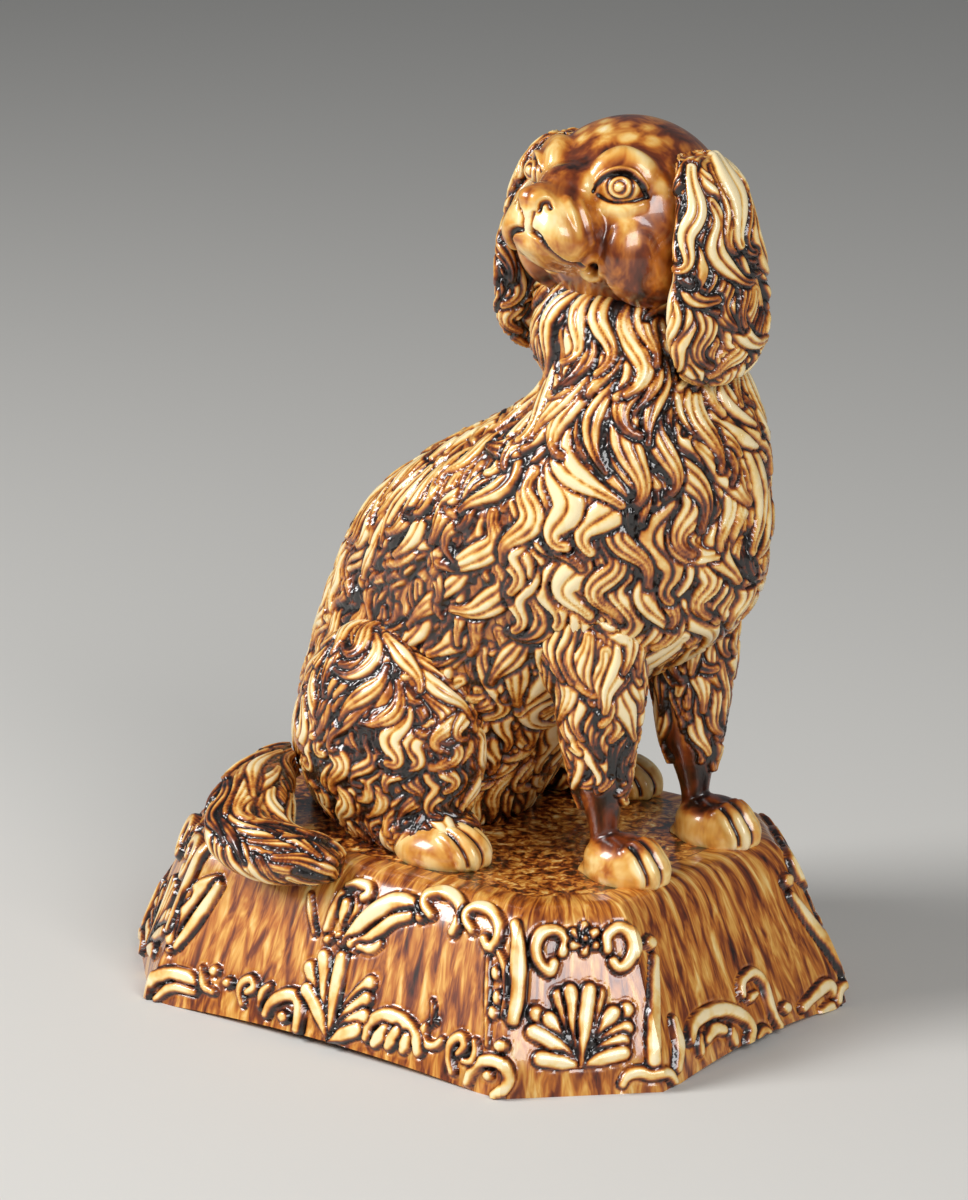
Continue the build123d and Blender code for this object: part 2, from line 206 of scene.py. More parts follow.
class Skin:
    """The vertices of one clay form, and what has been modelled on them so far."""

    def __init__(self, form, stain_and_shade=0.0):
        self.form = form
        count = len(form.data.vertices)
        self.place = vectors(form.data.vertices, "co")
        self.normal = vectors(form.data.vertex_normals, "vector")
        self.by_height = np.argsort(self.place[:, 2])
        self.heights = self.place[self.by_height, 2]
        self.crest = np.zeros(count)
        self.edge = np.full(count, FAR)
        self.strand = np.full(count, FAR)
        self.stain_and_shade = np.full(count, stain_and_shade)
        self.bare = np.ones(count, dtype=bool)
        self.tree = BVHTree.FromObject(form, bpy.context.evaluated_depsgraph_get())

    def around(self, path, facing, reach):
        """The vertices near a path: which ones, how far away, how far along it and to which side."""
        low = path.min(axis=0) - reach
        high = path.max(axis=0) + reach
        first, last = np.searchsorted(self.heights, (low[2], high[2]))
        near = self.by_height[first:last]
        spots = self.place[near]
        near = near[((spots > low) & (spots < high)).all(axis=1)]
        run = path[1:] - path[:-1]
        offset = self.place[near][:, None, :] - path[None, :-1, :]
        share = np.clip((offset * run).sum(axis=2) / ((run * run).sum(axis=1) + 1e-12), 0, 1)
        offset -= share[..., None] * run
        distance = (offset * offset).sum(axis=2)
        nearest = distance.argmin(axis=1)
        rows = np.arange(len(near))
        distance = np.sqrt(distance[rows, nearest])
        along = (nearest + share[rows, nearest]) / len(run)
        side = np.cross(self.normal[near], run[nearest])
        side = np.sign((side * offset[rows, nearest]).sum(axis=1)) * distance
        same_side = (self.normal[near] * facing[nearest]).sum(axis=1) > SAME_SIDE
        return near[same_side], distance[same_side], along[same_side], side[same_side]

    def lay(self, path, facing, half_width, height, strands=1, stain_and_shade=0.0, root=1.0, tip=1.0, lift=1.0):
        """Lays a roll of clay along a path; root, tip and lift are shares of its width and of its height."""
        near, distance, along, side = self.around(path, facing, half_width + HALO)
        width = half_width * (root + (1 - root) * smoothly(along / WIDEST))
        width *= 1 - (1 - tip) * smoothly((along - WIDEST) / (1 - WIDEST))
        beside = (distance >= width) & (distance < width + HALO)
        rim = near[beside]
        self.edge[rim] = np.minimum(self.edge[rim], (distance - width)[beside])
        under = distance < width
        near, width = near[under], width[under]
        across = side[under] / width
        part = ((across + 1) / 2 * strands) % 1
        dome = np.sqrt(1 - np.abs(across) ** 3)
        strand_dome = np.sqrt(np.maximum(0, 1 - (2 * part - 1) ** 2))
        fold = STRAND_FOLD if strands > 1 else 0
        rise = lift + (1 - lift) * smoothly(along[under] / RISEN)
        self.crest[near] = height * rise * dome * (1 - fold + fold * strand_dome)
        self.edge[near] = width - distance[under]
        self.strand[near] = np.minimum(part, 1 - part) * 2 * width / strands if strands > 1 else FAR
        self.stain_and_shade[near] = stain_and_shade
        self.bare[near] = False

    def cut(self, path, facing, half_width, depth):
        """Draws a rounded groove along a path."""
        near, distance, _, _ = self.around(path, facing, half_width + HALO)
        self.edge[near] = np.minimum(self.edge[near], np.maximum(0, distance - half_width / 2))
        inside = distance < half_width
        self.crest[near[inside]] -= depth * (1 - (distance[inside] / half_width) ** 2)

    def swell(self, path, facing, half_width, height, stain_and_shade=0.0):
        """Raises a soft ridge along a path, with no edge."""
        near, distance, _, _ = self.around(path, facing, half_width)
        rise = np.maximum(0, 1 - (distance / half_width) ** 2) ** 2
        self.crest[near] = np.maximum(self.crest[near], height * rise)
        self.stain_and_shade[near] += stain_and_shade * rise

    def dab(self, spot, radius, amount):
        """Lets the glaze run thin (above zero) or pool (below zero) round a place."""
        distance = np.linalg.norm(self.place - np.array(spot), axis=1)
        self.stain_and_shade += amount * smoothly(1.5 - distance / radius)

    def shape(self, sink, groove, lip, strand_groove=0.0, soften=1):
        """Moves the skin to its strokes and keeps the cues that the glaze reads."""
        height = self.crest - sink
        height -= groove * (1 - smoothly(self.edge / lip))
        height -= strand_groove * (1 - smoothly(self.strand / STRAND_LIP))
        self.place += self.normal * self.spread(height, soften)[:, None]
        self.form.data.vertices.foreach_set("co", self.place.ravel())
        self.form.data.update()
        out = vectors(self.form.data.vertex_normals, "vector")
        depth = ((self.spread(self.place, OUTLINE_ROUNDS) - self.place) * out).sum(axis=1)
        ridge = np.minimum(self.edge / DRAINED, FOLD_DRAINED + self.strand / STRAND_DRAINED)
        ridge = np.where(self.bare, self.edge / HALO, ridge).clip(0, 1)
        stain_and_shade = self.spread(self.stain_and_shade, STAIN_ROUNDS)
        self.note("ridge", self.spread(ridge, 1))
        self.note("field", self.spread(self.bare * smoothly(self.edge / HALO), 1))
        # Hollows are painted darker and raised places lighter: partly glaze pooled in the hollows, partly
        # painted shade
        self.note("stain_and_shade", stain_and_shade - POOLED_GLAZE_AND_SHADE * np.clip(depth / SHADED_POOL_DEPTH, -1, 1))

    def spread(self, values, rounds):
        """Values averaged with those of their neighbours, as glaze softens what it covers."""
        mesh = self.form.data
        ends = np.empty(len(mesh.edges) * 2, dtype=np.int32)
        mesh.edges.foreach_get("vertices", ends)
        first, second = ends.reshape(-1, 2).T
        count = len(mesh.vertices)
        valence = np.bincount(first, minlength=count) + np.bincount(second, minlength=count)
        columns = values.reshape(count, -1).T
        for _ in range(rounds):
            sums = [np.bincount(first, column[second], count) + np.bincount(second, column[first], count)
                    for column in columns]
            columns = [(column + total / valence) / 2 for column, total in zip(columns, sums)]
        return np.array(columns).T.reshape(values.shape)

    def note(self, name, values):
        """Keeps one number for each vertex, which the glaze reads by name."""
        kept = self.form.data.attributes.new(name, "FLOAT", "POINT")
        kept.data.foreach_set("value", values.astype(np.float32))


# %% [markdown]
# ## The coat
# A groom's comb gives each region of the coat its fall, and every lock sways from side to side on its way
# down. The sway is one wavy field, so that neighbouring locks nest in each other as combed hair does. Roots
# are scattered with a seeded generator. The lowest locks are laid first, so each tip lies over the roots
# below it, like tiles on a roof, and a layer of smaller locks goes underneath to fill the gaps.

# %% The line of one lock
Style = namedtuple("Style", "half_width length height sway wave drift curl")
LOCK_STEP = 0.9 * MM
DRIFT_TURNS = 1.3  # how many waves a drift of the sway is worth
HOOK_START = 0.55  # share of a lock's length at which its tip begins to curl


def combed(half_width, length, height, sway, wave, drift, curl):
    """A style of lock, with its lengths in millimetres; curl is how far the tip turns."""
    return Style(half_width * MM, length * MM, height * MM, sway, wave * MM, drift * MM, curl)


def sway_at(spot, style):
    """How far the coat is combed aside at a place."""
    drift = noise.noise(Vector(spot) / style.drift)
    return style.sway * math.sin(2 * math.pi * (spot[2] / style.wave + DRIFT_TURNS * drift))


def trace(skin, start, fall, style, length, lean, hook):
    """The line of one lock over a skin, with the way that the skin faces along it."""
    spot, facing, _, _ = skin.tree.find_nearest(Vector(start))
    path, faces = [spot], [facing]
    count = max(4, round(length / LOCK_STEP))
    for index in range(count):
        share = index / count
        down = Vector(fall(spot))
        down -= facing * down.dot(facing)
        down.normalize()
        angle = sway_at(spot, style) + lean + hook * max(0, share - HOOK_START) ** 1.5
        heading = down * math.cos(angle) + facing.cross(down) * math.sin(angle)
        spot, facing, _, _ = skin.tree.find_nearest(spot + heading * LOCK_STEP)
        path.append(spot)
        faces.append(facing)
    return np.array(path), np.array(faces)


# %% Locks that follow the fall of the coat
LAYERS = (0.75, 1)  # sizes of the locks in the undercoat and in the coat
CANDIDATES = 16000  # places that are tried for the roots of one layer
ALONG_ROOM = 0.45  # room between roots along the fall, in lengths of a lock
ACROSS_ROOM = 1.05  # room between roots across the fall, in half widths
ORDER_SLACK = 4 * MM  # how far the order of laying strays from the lowest first
STRANDS = 3
CURL_PATCH = 16 * MM  # size of the patches in which tips curl the same way
CURL_MEAN = 0.7
CURL_SPREAD = 0.35
LEAN_SPREAD = 0.15
STAIN_SPREAD = 0.13
LOCK_SHAPE = {"root": 0.55, "tip": 0.4, "lift": 0.4}


def roots(skin, style_at, fall, candidates, scale):
    """Scattered places for the roots of locks, further apart along the fall than across it."""
    chosen = np.empty((0, 3))
    for index in candidates:
        spot = skin.place[index]
        style = style_at(spot)
        down = np.array(fall(spot))
        down = down - skin.normal[index] * down.dot(skin.normal[index])
        down /= np.linalg.norm(down) + 1e-9
        gap = chosen - spot
        along = gap @ down
        across = ((gap - along[:, None] * down) ** 2).sum(axis=1)
        along_room = ALONG_ROOM * scale * style.length
        across_room = ACROSS_ROOM * scale * style.half_width
        if ((along / along_room) ** 2 + across / across_room**2 < 1).any():
            continue
        chosen = np.vstack([chosen, spot])
    return chosen


def coat(skin, style_at, fall, where, seed, rank=lambda spot: spot[2]):
    """Lays an undercoat and then a coat of locks in the style of each place, the lowest first."""
    dice = np.random.default_rng(seed)
    coated = np.flatnonzero(where)
    for scale in LAYERS:
        spots = roots(skin, style_at, fall, dice.permutation(coated)[:CANDIDATES], scale)
        for spot in sorted(spots, key=lambda spot: rank(spot) + dice.uniform(0, ORDER_SLACK)):
            style = style_at(spot)
            length = style.length * scale * dice.uniform(0.8, 1.25)
            turn = math.copysign(CURL_MEAN, noise.noise(Vector(spot) / CURL_PATCH))
            hook = style.curl * (turn + CURL_SPREAD * dice.normal())
            lean = LEAN_SPREAD * dice.normal()
            path, facing = trace(skin, spot, fall, style, length, lean, hook)
            half_width = style.half_width * scale * dice.uniform(0.8, 1.2)
            height = style.height * (0.35 + 0.65 * scale) * dice.uniform(0.85, 1.15)
            strands = STRANDS - dice.integers(0, 2)
            stain_and_shade = dice.normal(0, STAIN_SPREAD)
            skin.lay(path, facing, half_width, height, strands, stain_and_shade, **LOCK_SHAPE)
        print(skin.form.name, len(spots), "locks")


# %% [markdown]
# ## Body
# The trunk is a smooth pear. Big flame-shaped locks cover the chest, narrower ones are combed back along the
# spine, and the neck is in between. It was pressed in two halves, so the finished skin is bisected along the
# dog's middle, and each half is closed with a flat face.

# %% Halving a finished form


def half(form, name, middle, away):
    """A copy of a form without what lies beyond a plane, closed where it was cut."""
    piece = form.copy()
    piece.data = form.data.copy()
    piece.name = name
    piece.data.name = name
    bpy.context.collection.objects.link(piece)
    with editing(piece):
        bpy.ops.mesh.bisect(plane_co=middle, plane_no=away, use_fill=True, clear_outer=True)
    bpy.ops.object.shade_smooth_by_angle(angle=math.radians(80))
    print(name, len(piece.data.polygons), "faces")
    return piece


# %% Fall and style of the trunk's coat
CHEST_START = 5  # along X, in millimetres: locks grow broader from here
CHEST_REACH = 50
NECK_START = 185  # along Z, in millimetres: the neck's locks begin here
NECK_REACH = 20
SPINE_SWEEP = 0.6


def between(start, end, share):
    """A number between two others, with an even start and stop."""
    return start + (end - start) * float(smoothly(share))


def trunk_style(spot):
    """Broad locks on the chest, narrow combed ones on the back, wavy ones on the neck."""
    front = (spot[0] / MM - CHEST_START) / CHEST_REACH
    neck = (spot[2] / MM - NECK_START) / NECK_REACH
    return combed(
        half_width=between(between(3.4, 4.9, front), 4.0, neck),
        length=between(25, 30, front),
        height=between(1.8, 2.4, front),
        sway=between(between(0.6, 0.8, front), 0.6, neck),
        wave=between(22, 28, front),
        drift=60,
        curl=3.5,
    )


def trunk_fall(spot):
    """Straight down the chest, and down and back along the spine."""
    return (between(-SPINE_SWEEP, 0, spot[0] / (CHEST_REACH * MM)), 0, -1)


# %% Trunk with its coat
MIDDLE = 5  # along Y, in millimetres: the dog's middle plane
NECK_TOP = 232 * MM
trunk_halves = [cad_lump("torso_left_half"), cad_lump("torso_right_half")]
neck = egg((46, 4, 207), (54, 52, 44))
rump = egg((-28, 5, 56), (66, 68, 10))
trunk = press("trunk", [*trunk_halves, neck, rump], grain=0.75 * MM, thumbing=25)
trunk_skin = Skin(trunk)
coat(trunk_skin, trunk_style, trunk_fall, trunk_skin.place[:, 2] < NECK_TOP, seed=3)
trunk_skin.shape(sink=1.4 * MM, groove=0.5 * MM, lip=0.8 * MM, strand_groove=0.35 * MM)
torso_left = half(trunk, "torso_left_coat", (0, MIDDLE * MM, 0), (0, -1, 0))
torso_right = half(trunk, "torso_right_coat", (0, MIDDLE * MM, 0), (0, 1, 0))
bpy.data.objects.remove(trunk)

# %% Haunches, with tight swirls
HANDS = (("left", 1), ("right", -1))
HAUNCH_STYLE = combed(half_width=3.4, length=22, height=1.8, sway=0.9, wave=22, drift=34, curl=5)
HAUNCH_FOOT = 48 * MM


def straight_down(spot):
    """The fall of a coat that hangs."""
    return (0, 0, -1)


haunches = []
for hand, side in HANDS:
    thigh = egg((-13, MIDDLE + 36 * side, 82), (66, 38, 72))
    hock = egg((2, MIDDLE + 39 * side, 57), (40, 26, 18))
    haunch = press(f"{hand}_haunch_coat", [thigh, hock], grain=0.65 * MM, thumbing=12)
    skin = Skin(haunch)
    coat(skin, lambda spot: HAUNCH_STYLE, straight_down, skin.place[:, 2] > HAUNCH_FOOT, seed=11 + side)
    skin.shape(sink=1.1 * MM, groove=0.45 * MM, lip=0.7 * MM, strand_groove=0.3 * MM)
    haunches.append(haunch)

# %% [markdown]
# ## Paws and legs
# Each paw is a low dome, with four knuckles and three grooves that part its toes. The forelegs carry a
# feathered cuff of locks down to a smooth bare shank.

# %% Paws
PAW_STAIN = 0.2
PAW_DEPTH = 11  # in millimetres
TOE_LINE = [(0.35, 0), (0.6, 0.1), (0.85, 0.4), (1.0, 0.7), (1.05, 1)]  # shares of reach and depth
KNUCKLES = (-0.75, -0.25, 0.25, 0.75)
PARTINGS = (-0.5, 0, 0.5)


def toe_line(skin, heel, reach, spread, share):
    """A line over the toes of a paw, at a share of the way aside."""
    path, facing = [], []
    for forward, drop in TOE_LINE:
        aside = share * spread * (0.5 + 0.5 * forward)
        point = Vector((heel[0] + forward * reach, heel[1] + aside, heel[2] - drop * PAW_DEPTH))
        place, face, _, _ = skin.tree.find_nearest(point * MM)
        path.append(place)
        facing.append(face)
    return np.array(path), np.array(facing)


def part_toes(skin, heel, reach, spread):
    """Four knuckles over the front of a paw and grooves between them; heel is its top, in millimetres."""
    for share in KNUCKLES:
        path, facing = toe_line(skin, heel, reach, spread, share)
        skin.swell(path, facing, half_width=2.3 * MM, height=1.1 * MM, stain_and_shade=0.1)
    for share in PARTINGS:
        path, facing = toe_line(skin, heel, reach, spread, share)
        skin.cut(path, facing, half_width=0.8 * MM, depth=0.7 * MM)


hind_paws = []
for hand, side in HANDS:
    paw_y = MIDDLE + 43 * side
    paw = press(f"{hand}_hind_paw_toes", [egg((12, paw_y, 53), (32, 22, 17))], grain=0.5 * MM, thumbing=6)
    skin = Skin(paw, stain_and_shade=PAW_STAIN)
    part_toes(skin, (12, paw_y, 61.5), reach=16, spread=14)
    skin.shape(sink=0, groove=0.2 * MM, lip=0.8 * MM)
    hind_paws.append(paw)

# %% Forelegs
CUFF_STYLE = combed(half_width=3.6, length=22, height=1.9, sway=0.45, wave=26, drift=34, curl=3)
CUFF_END = 94 * MM
CUFF_FEATHER = 18 * MM  # how far the cuff's locks hang below their roots
CUFF_FADE = 12 * MM
SHANK_STAIN = -0.3
PAW_TOP = 62 * MM
PAW_FADE = 5 * MM
forelegs = []
for hand, side in HANDS:
    leg_y = MIDDLE + 23 * side
    shank = cad_lump(f"{hand}_foreleg")
    paw = egg((65, leg_y, 52.5), (27, 21, 17))
    elbow = egg((52, leg_y, 118), (34, 30, 44))
    leg = press(f"{hand}_foreleg_coat", [shank, paw, elbow], grain=0.6 * MM, thumbing=8)
    skin = Skin(leg)
    in_cuff = smoothly((skin.place[:, 2] - CUFF_END + CUFF_FEATHER) / CUFF_FADE)
    in_paw = smoothly((PAW_TOP - skin.place[:, 2]) / PAW_FADE)
    skin.stain_and_shade += SHANK_STAIN * (1 - in_cuff) * (1 - in_paw) + PAW_STAIN * in_paw
    coat(skin, lambda spot: CUFF_STYLE, straight_down, skin.place[:, 2] > CUFF_END, seed=21 + side)
    part_toes(skin, (65, leg_y, 61), reach=13.5, spread=13)
    skin.shape(sink=1.2 * MM * in_cuff, groove=0.45 * MM, lip=0.7 * MM, strand_groove=0.3 * MM)
    forelegs.append(leg)

# %% [markdown]
# ## Ears and tail
# The ears hang as two thick tresses of curls. The tail lies round the right haunch and is combed along its
# own length, so its fall follows the line of the tail.

# %% Ears
EAR_STYLE = combed(half_width=4.2, length=30, height=2.2, sway=0.6, wave=20, drift=36, curl=5)
ears = []
for hand, side in HANDS:
    ear = press(f"{hand}_ear_curls", [cad_lump(f"{hand}_ear")], grain=0.55 * MM, thumbing=6)
    skin = Skin(ear)
    coat(skin, lambda spot: EAR_STYLE, straight_down, skin.bare, seed=31 + side)
    skin.shape(sink=1.2 * MM, groove=0.5 * MM, lip=0.8 * MM, strand_groove=0.35 * MM)
    ears.append(ear)

# %% Tail
TAIL_LINE = [Vector(point) * MM for point in (
    (-57, -10, 64), (-58, -32, 63), (-53, -45, 60), (-46, -57, 57),
    (-36, -66, 53), (-23, -66, 51), (-5, -62, 50))]
TAIL_STRETCH = 14 * MM  # about the distance from one point of the line to the next
TAIL_STYLE = combed(half_width=3.0, length=30, height=1.6, sway=0.5, wave=16, drift=40, curl=2)
TAIL_DROOP = 0.8


def along_tail(spot):
    """The way of the tail's line here, mostly that of its nearest stretches."""
    way = Vector()
    for start, end in zip(TAIL_LINE, TAIL_LINE[1:]):
        away = ((start + end) / 2 - Vector(spot)).length
        way += (end - start).normalized() / away**4
    return way.normalized()


def across_tail(spot):
    """Along the tail and down its sides, as the hair is combed."""
    return along_tail(spot) + Vector((0, 0, -TAIL_DROOP))


def from_tip(spot):
    """How far up the tail a place is, counted from its tip."""
    spot = Vector(spot)
    nearest = min(range(len(TAIL_LINE) - 1), key=lambda index: (TAIL_LINE[index] - spot).length)
    past = (spot - TAIL_LINE[nearest]).dot(along_tail(spot))
    return (len(TAIL_LINE) - nearest) * TAIL_STRETCH - past


tail = press("tail_plume", [cad_lump("tail")], grain=0.55 * MM, thumbing=6)
tail_skin = Skin(tail)
coat(tail_skin, lambda spot: TAIL_STYLE, across_tail, tail_skin.bare, seed=41, rank=from_tip)
tail_skin.shape(sink=0.9 * MM, groove=0.4 * MM, lip=0.7 * MM, strand_groove=0.3 * MM)

# %% [markdown]
# ## Head
# The face is smooth under its glaze, with a few firm lines: the brow, the lids round a ringed eye, the
# nostrils, the drooping mouth and the fold beside it. The lumps give the skull, cheeks and muzzle. The lines
# are placed by looking through the camera at the near side, and mirrored in the head's own middle plane.

# %% Skull, cheeks and muzzle
HEAD_CENTRE = Vector((47.5, 6.0, 241.0)) * MM
HEAD_TURN = math.radians(-98)
HEAD_TILT = math.radians(-12)
HEAD_FRAME = (
    Matrix.Translation(HEAD_CENTRE)
    @ Matrix.Rotation(HEAD_TURN, 4, "Z")
    @ Matrix.Rotation(HEAD_TILT, 4, "Y")
)
FACE_STAIN = -0.1
head_lumps = [cad_lump("head_face_half"), cad_lump("head_back_half")]
chin = egg((26, 0, -13), (24, 15, 11), HEAD_FRAME)
bridge = egg((22, 0, 6), (28, 20, 16), HEAD_FRAME)
throat = egg((-4, 0, -20), (40, 40, 28), HEAD_FRAME)
head_lumps += [chin, bridge, throat]
for side in (1, -1):
    cheek = egg((7, 17 * side, -9), (38, 20, 32), HEAD_FRAME)
    brow = egg((15, 11 * side, 10), (24, 22, 20), HEAD_FRAME)
    lip = egg((28, 6.5 * side, -6), (26, 17, 20), HEAD_FRAME)
    head_lumps += [cheek, brow, lip]
head = press("head", head_lumps, grain=0.5 * MM, thumbing=30)
head_skin = Skin(head, stain_and_shade=FACE_STAIN)

# %% Strokes seen through the camera
FACE_MIRROR = HEAD_FRAME @ Matrix.Diagonal((1, -1, 1, 1)) @ HEAD_FRAME.inverted()


def flowing(points, steps=5):
    """A smooth line through a few points, as a Catmull-Rom curve."""
    points = np.array(points, dtype=float)
    ends = np.vstack([2 * points[0] - points[1], points, 2 * points[-1] - points[-2]])
    line = []
    for before, start, end, after in zip(ends, ends[1:], ends[2:], ends[3:]):
        for share in np.arange(steps) / steps:
            line.append(0.5 * (2 * start + (end - before) * share
                               + (2 * before - 5 * start + 4 * end - after) * share**2
                               + (3 * start - before - 3 * end + after) * share**3))
    line.append(points[-1])
    return np.array(line)


def ring(centre, radius):
    """A closed circle of pixels."""
    turns = np.linspace(0, 2 * math.pi, 13)
    return [(centre[0] + radius * math.cos(turn), centre[1] + radius * math.sin(turn)) for turn in turns]


def seen(trees, pixels):
    """Where the lines of sight through some pixels meet the nearest of some surfaces, and how these face."""
    path, facing = [], []
    for pixel in pixels:
        hits = [tree.ray_cast(camera.location, sight(pixel)) for tree in trees]
        hits = [hit for hit in hits if hit[0] is not None]
        if hits:
            place, face, _, _ = min(hits, key=lambda hit: hit[3])
            path.append(place)
            facing.append(face)
    return np.array(path), np.array(facing)


def both_sides(pixels):
    """A line on the near side of the face and the same line on the far side."""
    path, facing = seen([head_skin.tree], flowing(pixels))
    yield path, facing
    far = [head_skin.tree.find_nearest(FACE_MIRROR @ Vector(point))[:2] for point in path]
    yield np.array([point for point, _ in far]), np.array([face for _, face in far])


# %% Features of the face, as lines of pixels with half widths and heights in millimetres
EYE = (620.5, 187)
MOUTH_CORNER = (593, 268)
FACE_SWELLS = {
    "brow": ([(588, 186), (600, 164), (622, 152), (645, 163), (654, 180)], 5.0, 1.6, 0.33),
    "eyeball": ([(613, 187), (628, 188)], 5.0, 1.6, 0.5),
    "upper lid": ([(596, 187), (606, 175), (620, 170), (634, 174), (645, 188)], 1.6, 1.9, 0.1),
    "lower lid": ([(604, 207), (622, 211), (642, 205)], 2.5, 0.8, 0.1),
    "lip": ([(536, 222), (551, 236), (570, 250)], 8.0, 1.6, 0.12),
    "nose": ([(536, 198), (544, 200)], 4.5, 1.5, 0.1),
    "chin": ([(528, 248), (545, 256)], 5.0, 0.8, 0.1),
    "front fold": ([(567, 198), (573, 214), (579, 236)], 1.7, 0.7, 0.12),
    "rear fold": ([(581, 203), (588, 222), (592, 243)], 1.7, 0.7, 0.12),
    "rim of the mouth's corner": (ring(MOUTH_CORNER, 10), 2.2, 1.3, 0.25),
}
FACE_CUTS = {
    "upper lash line": ([(592, 192), (602, 181), (613, 174), (627, 174), (638, 183), (648, 197)], 0.6, 0.8),
    "lower lash line": ([(598, 195), (608, 201), (621, 203), (635, 201), (648, 197)], 0.4, 0.4),
    "iris": (ring(EYE, 12), 0.5, 0.45),
    "pupil": (ring(EYE, 5.5), 0.5, 0.45),
    "nostril": ([(540, 211), (542, 204), (548, 203), (550, 208)], 1.0, 1.2),
    "parting under the nose": ([(535, 212), (534, 222), (533, 230)], 0.8, 0.8),
    "mouth": ([(533, 231), (541, 236), (550, 249), (564, 260), (582, 265)], 1.2, 1.6),
    "mouth's corner": ([(592, 268), (594, 269)], 2.2, 3.0),
}
for pixels, half_width, height, stain_and_shade in FACE_SWELLS.values():
    for path, facing in both_sides(pixels):
        head_skin.swell(path, facing, half_width * MM, height * MM, stain_and_shade)
for pixels, half_width, depth in FACE_CUTS.values():
    for path, facing in both_sides(pixels):
        head_skin.cut(path, facing, half_width * MM, depth * MM)
print("on each side:", *FACE_SWELLS, *FACE_CUTS, sep="\n  ")

# %% Where the glaze ran thin or pooled on the face, as pixels with radii in millimetres
FACE_DABS = [
    ((606, 207), 2.5, 0.2), ((624, 210), 3.2, 0.25), ((642, 207), 2.5, 0.2), ((628, 226), 2.8, 0.2),
    ((636, 240), 2, 0.15), ((555, 218), 6, 0.27), ((531, 220), 4, 0.22), ((662, 190), 2.5, 0.25),
    ((602, 128), 2.2, 0.22), ((605, 140), 2.2, 0.22), ((625, 124), 2, 0.22), ((628, 138), 2.4, 0.25),
    ((648, 127), 2.4, 0.22), ((653, 141), 2.4, 0.28), ((668, 140), 2, 0.25), ((580, 142), 2.4, 0.15),
    ((640, 262), 6, -0.06), ((575, 165), 6, -0.06), ((540, 260), 6, 0.1),
]
for pixel, radius, amount in FACE_DABS:
    for spot in seen([head_skin.tree], [pixel])[0]:
        head_skin.dab(spot, radius * MM, amount)
        head_skin.dab(FACE_MIRROR @ Vector(spot), radius * MM, amount)
print(len(FACE_DABS), "dabs on each side of the face")

# %% Locks on the back of the head
NAPE_STYLE = combed(half_width=3.4, length=24, height=1.9, sway=0.6, wave=22, drift=34, curl=4)
NAPE_FRONT = -8 * MM  # along the head's own X
NAPE_TOP = 258 * MM
to_head = np.array(HEAD_FRAME.inverted())
forward = head_skin.place @ to_head[0, :3] + to_head[0, 3]
nape = (forward < NAPE_FRONT) & (head_skin.place[:, 2] < NAPE_TOP)
coat(head_skin, lambda spot: NAPE_STYLE, straight_down, nape, seed=51)
head_skin.shape(sink=0, groove=0.4 * MM, lip=0.7 * MM, strand_groove=0.3 * MM)
face_way = HEAD_FRAME.to_3x3() @ Vector((1, 0, 0))
head_face = half(head, "head_face", HEAD_FRAME.translation, -face_way)
head_back = half(head, "head_back", HEAD_FRAME.translation, face_way)
bpy.data.objects.remove(head)

# %% [markdown]
# ## Plinth
# The plinth is eight moulded walls under a flat top. Each wall starts as a grid: its columns run along the
# wall and its rows climb the profile, from the foot over the shoulder to the slab. Each vertex keeps the
# place on the foot that lies below it, because the glaze runs down that way. The mould's scrolls, leaves and
# beads are strokes again. A coarse inner grid is bridged to the outer one, which closes each wall.

# %% Wall profile and plan
PLINTH_LENGTH = 200 * MM
PLINTH_WIDTH = 160 * MM
PLINTH_HEIGHT = 50 * MM
CORNER_CANT = 33 * MM
HALF_CORNER = math.pi / 8  # half of the plan's turn at each corner
WALL_PROFILE = [(0, 0), (9, 2), (42, 16), (46.4, 18.8), (48.8, 21.4), (50, 24), (50, 31)]  # height and inset
INNER_PROFILE = [(0, 7), (9, 9), (40, 22.5), (42, 25), (42, 31)]
PROFILE_STEPS = 400
PROFILE_SOFTENING = 31  # how many of those steps a bend is rounded over
FOOT_ARCH = 2.5 * MM
FOOT_LAND = 9 * MM
FOOT_HEIGHT = 9 * MM
WALLS = ["right_wall", "front_right_corner_wall", "front_wall", "front_left_corner_wall",
         "left_wall", "rear_left_corner_wall", "rear_wall", "rear_right_corner_wall"]


def plan_corners(inset):
    """The eight corners of the plan at some insets, from the right wall's rear end round to the front."""
    along = PLINTH_LENGTH / 2 - CORNER_CANT - inset * math.tan(HALF_CORNER)
    across = PLINTH_WIDTH / 2 - CORNER_CANT - inset * math.tan(HALF_CORNER)
    end = PLINTH_LENGTH / 2 - inset
    flank = PLINTH_WIDTH / 2 - inset
    corners = [(-along, -flank), (along, -flank), (end, -across), (end, across),
               (along, flank), (-along, flank), (-end, across), (-end, -across)]
    return [np.stack(corner, axis=-1) for corner in corners]


def wall_ends(index, inset):
    """Both ends of a wall in plan, at some insets."""
    corners = plan_corners(inset)
    return corners[index], corners[(index + 1) % len(WALLS)]


def rounded_profile(profile):
    """A profile with its bends rounded: its length at even steps, and the height and inset there."""
    height, inset = np.array(profile, dtype=float).T * MM
    length = np.concatenate([[0], np.cumsum(np.hypot(np.diff(height), np.diff(inset)))])
    steps = np.linspace(0, length[-1], PROFILE_STEPS)
    kernel = np.ones(PROFILE_SOFTENING) / PROFILE_SOFTENING
    rounded = []
    for way in (height, inset):
        padded = np.pad(np.interp(steps, length, way), PROFILE_SOFTENING // 2, "edge")
        soft = np.convolve(padded, kernel, "valid")
        soft[0] = way[0]
        soft[-1] = way[-1]
        rounded.append(soft)
    return steps, *rounded


